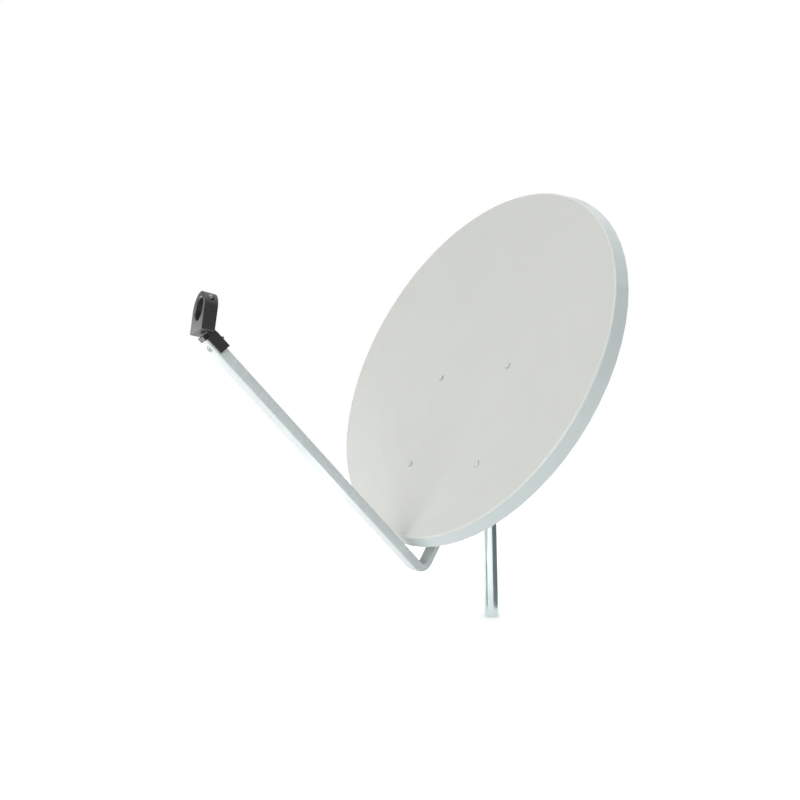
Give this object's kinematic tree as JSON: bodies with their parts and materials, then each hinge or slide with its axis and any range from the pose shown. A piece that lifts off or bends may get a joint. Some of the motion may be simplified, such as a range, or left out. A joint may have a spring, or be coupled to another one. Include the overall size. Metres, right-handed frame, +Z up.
{
  "type": "satellite dish",
  "caption": "Offset satellite dish with a bent feed arm and an empty LNB collar, on a tilting rear bracket clamped to a round mast.",
  "frame": {"origin": "on the mast's axis, at the mast's lower end", "axes": "+Z up along the mast, -Y the way the dish faces, +X to the right of someone who faces the way +Y points"},
  "size_m": [0.8216, 0.7588, 0.9973],
  "materials": {
    "reflector_paint": "satin light warm grey paint on pressed steel",
    "arm_paint": "satin cool light grey paint on steel tube",
    "black_plastic": "satin black moulded plastic",
    "cap_plastic": "matt dark grey moulded plastic",
    "bright_zinc": "bright zinc plating",
    "galvanised_steel": "galvanised sheet",
    "zinc_plated_steel": "zinc plated"
  },
  "bodies": {
    "mast": {"mast": "bright_zinc", "mast_cap": "cap_plastic"},
    "clamp": {"elevation_bolt_left": "zinc_plated_steel", "elevation_bolt_right": "zinc_plated_steel", "elevation_nut_left": "zinc_plated_steel", "elevation_nut_right": "zinc_plated_steel", "elevation_washer_left": "zinc_plated_steel", "elevation_washer_right": "zinc_plated_steel", "mast_bracket": "galvanised_steel", "mast_saddle_lower": "galvanised_steel", "mast_saddle_upper": "galvanised_steel", "pivot_bolt_left": "zinc_plated_steel", "pivot_bolt_right": "zinc_plated_steel", "pivot_nut_left": "zinc_plated_steel", "pivot_nut_right": "zinc_plated_steel", "pivot_washer_left": "zinc_plated_steel", "pivot_washer_right": "zinc_plated_steel", "u_bolt_lower": "bright_zinc", "u_bolt_nut_lower_left": "zinc_plated_steel", "u_bolt_nut_lower_right": "zinc_plated_steel", "u_bolt_nut_upper_left": "zinc_plated_steel", "u_bolt_nut_upper_right": "zinc_plated_steel", "u_bolt_upper": "bright_zinc", "u_bolt_washer_lower_left": "zinc_plated_steel", "u_bolt_washer_lower_right": "zinc_plated_steel", "u_bolt_washer_upper_left": "zinc_plated_steel", "u_bolt_washer_upper_right": "zinc_plated_steel"},
    "dish": {"arm": "arm_paint", "arm_bolt_lower": "zinc_plated_steel", "arm_bolt_upper": "zinc_plated_steel", "arm_front_plug": "black_plastic", "arm_nut_lower": "zinc_plated_steel", "arm_nut_upper": "zinc_plated_steel", "arm_spacer_lower_left": "zinc_plated_steel", "arm_spacer_lower_right": "zinc_plated_steel", "arm_spacer_upper_left": "zinc_plated_steel", "arm_spacer_upper_right": "zinc_plated_steel", "arm_top_plug": "black_plastic", "holder_bolt": "zinc_plated_steel", "holder_nut": "zinc_plated_steel", "holder_washer": "zinc_plated_steel", "lnb_clamp_screw": "zinc_plated_steel", "lnb_holder": "black_plastic", "rear_bracket": "galvanised_steel", "reflector": "reflector_paint", "reflector_bolt_lower_left": "zinc_plated_steel", "reflector_bolt_lower_right": "zinc_plated_steel", "reflector_bolt_upper_left": "zinc_plated_steel", "reflector_bolt_upper_right": "zinc_plated_steel", "reflector_nut_lower_left": "zinc_plated_steel", "reflector_nut_lower_right": "zinc_plated_steel", "reflector_nut_upper_left": "zinc_plated_steel", "reflector_nut_upper_right": "zinc_plated_steel", "reflector_spacer_lower_left": "zinc_plated_steel", "reflector_spacer_lower_right": "zinc_plated_steel", "reflector_spacer_upper_left": "zinc_plated_steel", "reflector_spacer_upper_right": "zinc_plated_steel"}
  },
  "joints": [
    {"name": "azimuth", "type": "hinge", "parent": "mast", "child": "clamp", "pos_m": [0, 0, 0.436], "axis": [0, 0, 1], "continuous": true},
    {"name": "elevation", "type": "hinge", "parent": "clamp", "child": "dish", "pos_m": [0, -0.0397, 0.4], "axis": [-1, 0, 0], "range_deg": [-25, 12]}
  ]
}
